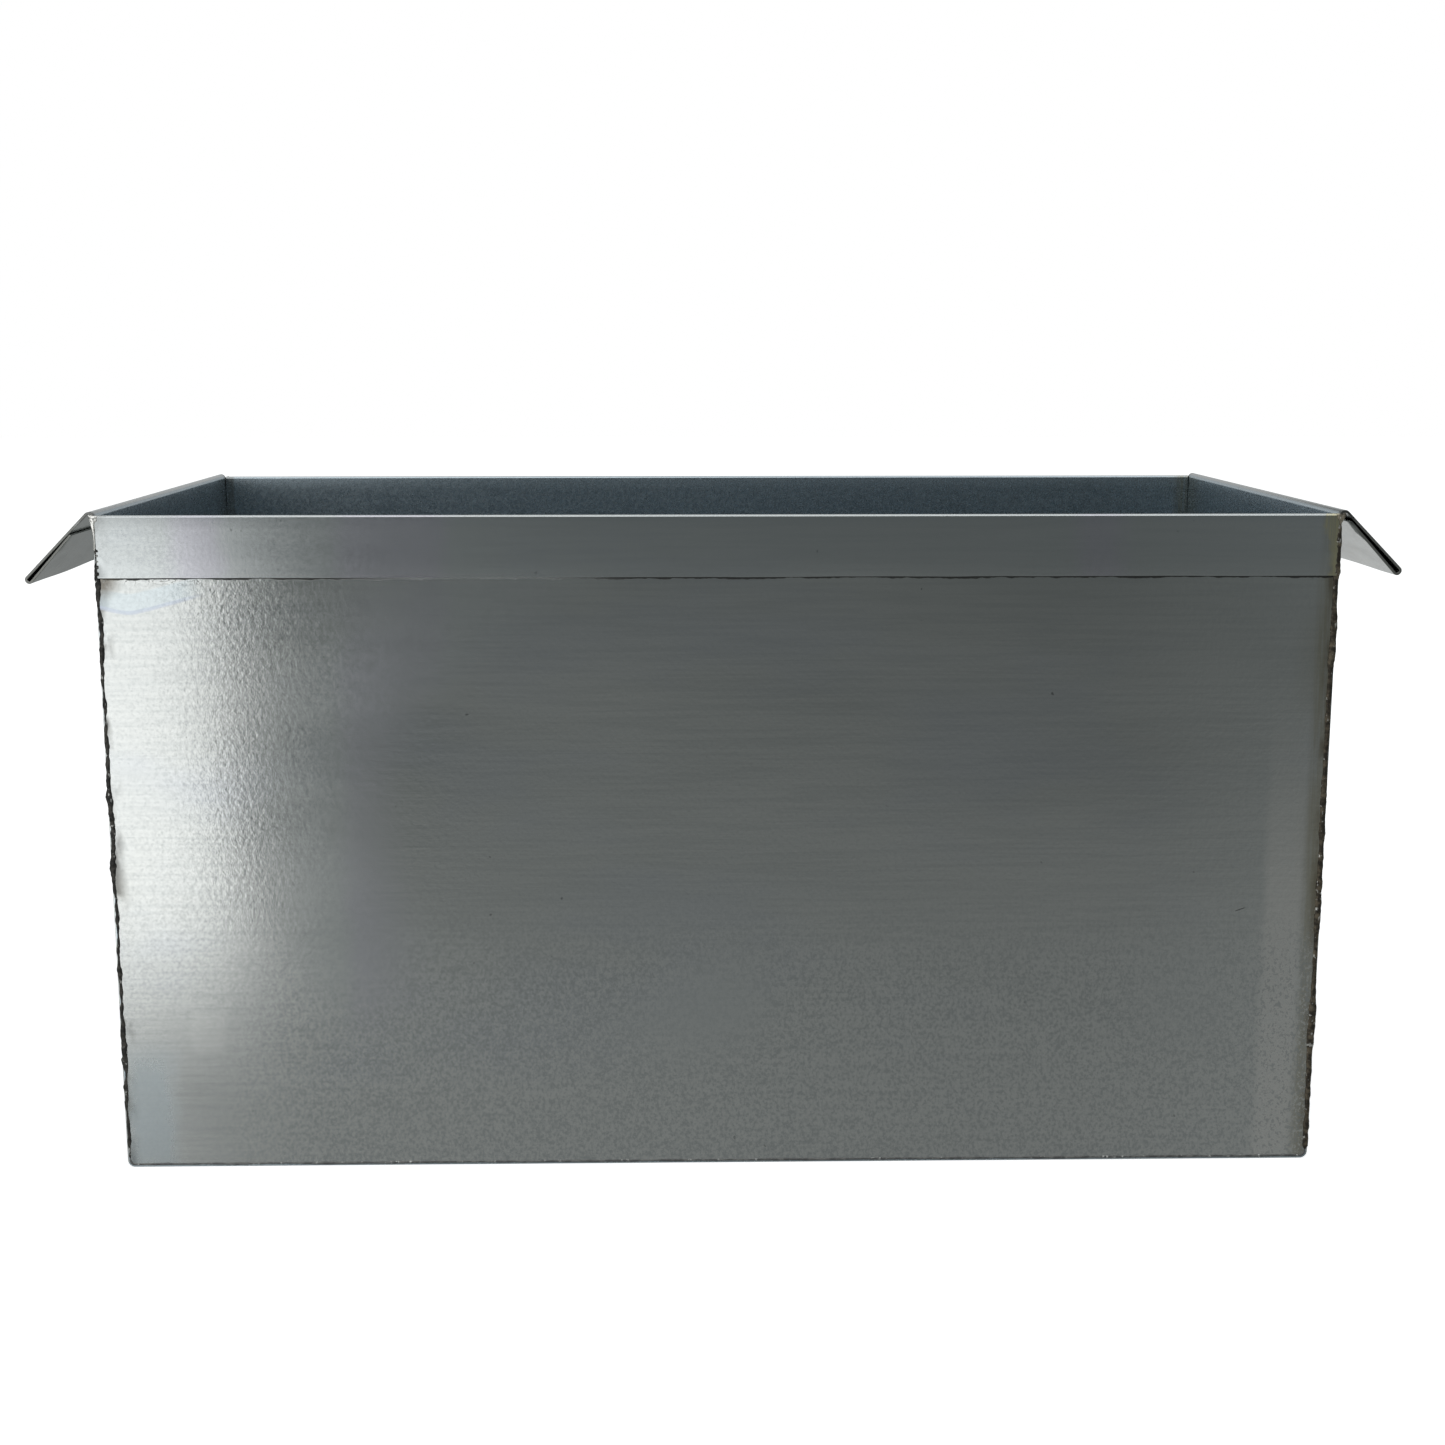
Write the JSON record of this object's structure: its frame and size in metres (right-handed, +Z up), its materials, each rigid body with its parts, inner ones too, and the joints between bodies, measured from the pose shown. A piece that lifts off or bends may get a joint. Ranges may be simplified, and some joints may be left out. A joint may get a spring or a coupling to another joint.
{
  "type": "livestock water trough",
  "caption": "Open rectangular galvanised sheet-steel trough with hemmed long rims, slightly leaning ends and a folded hand lip at each end, for watering or feeding stock.",
  "frame": {"origin": "on the ground plane, under the centre of the tub", "axes": "+X along the length, +Y from the front panel to the rear panel, +Z up"},
  "size_m": [0.6634, 0.3342, 0.3266],
  "materials": {
    "galvanised_sheet": "dull zinc-coated rolled sheet with fine horizontal rolling lines",
    "seam_weld": "scorched, uneven weld bead with bright flecks",
    "tack_weld": "bright solidified weld metal"
  },
  "bodies": {
    "root": {"end_and_floor_sheet": "galvanised_sheet", "front_panel": "galvanised_sheet", "rear_panel": "galvanised_sheet", "front_left_weld": "seam_weld", "front_right_weld": "seam_weld", "front_floor_weld": "seam_weld", "rear_left_weld": "seam_weld", "rear_right_weld": "seam_weld", "rear_floor_weld": "seam_weld", "front_left_tack": "tack_weld", "front_right_tack": "tack_weld", "rear_left_tack": "tack_weld", "rear_right_tack": "tack_weld"}
  },
  "joints": []
}
